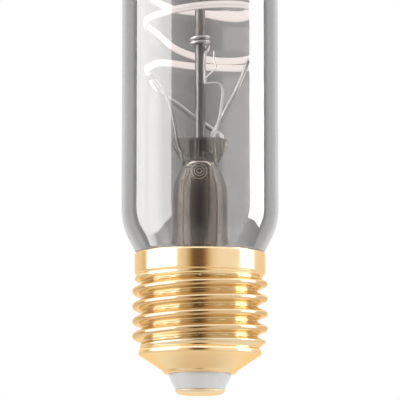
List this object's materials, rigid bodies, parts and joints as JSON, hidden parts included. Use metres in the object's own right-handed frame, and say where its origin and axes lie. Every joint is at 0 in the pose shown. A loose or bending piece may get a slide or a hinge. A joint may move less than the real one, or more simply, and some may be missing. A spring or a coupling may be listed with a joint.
{
  "type": "led filament bulb",
  "caption": "Slim tubular bulb of smoky glass with a spiral glowing filament round a central post, a glass stem and a gold screw cap.",
  "frame": {"origin": "centre of the flat face of the centre contact, at the foot of the screw cap", "axes": "+Z along the bulb's axis, from the centre contact to the domed top; +X to the right and +Y away from the viewer as in the picture"},
  "size_m": [0.0306, 0.0306, 0.185],
  "materials": {
    "smoky_glass": "clear smoky grey-brown glass, glossy",
    "stem_glass": "clear glass, glossy",
    "wire_metal": "bright nickel-plated wire",
    "filament": "soft silicone coating, glowing warm white",
    "gold_metal": "satin gold plating",
    "insulator": "smooth white, slightly translucent",
    "cement": "rough grey-white cement",
    "circuit_board": "green solder mask",
    "black_plastic": "matt black",
    "resistor_lacquer": "blue lacquer",
    "solder": "soft solder"
  },
  "bodies": {
    "root": {"glass_envelope": "smoky_glass", "stem_flare": "stem_glass", "exhaust_tube": "stem_glass", "centre_post": "wire_metal", "right_lead_wire": "wire_metal", "left_lead_wire": "wire_metal", "left_support_wire": "wire_metal", "right_support_wire": "wire_metal", "rear_hook_wire": "wire_metal", "top_arm_wire": "wire_metal", "lower_filament_strand": "filament", "spiral_filament_strand": "filament", "left_filament_pin": "wire_metal", "right_filament_link": "wire_metal", "top_filament_pin": "wire_metal", "cap_shell": "gold_metal", "cap_insulator": "insulator", "centre_contact": "gold_metal", "cap_cement": "cement", "driver_board": "circuit_board", "bridge_rectifier": "black_plastic", "driver_chip": "black_plastic", "sense_resistor": "black_plastic", "smoothing_capacitor": "black_plastic", "fusible_resistor": "resistor_lacquer", "contact_lead_wire": "wire_metal", "shell_lead_wire": "wire_metal", "shell_solder_joint": "solder"}
  },
  "joints": []
}
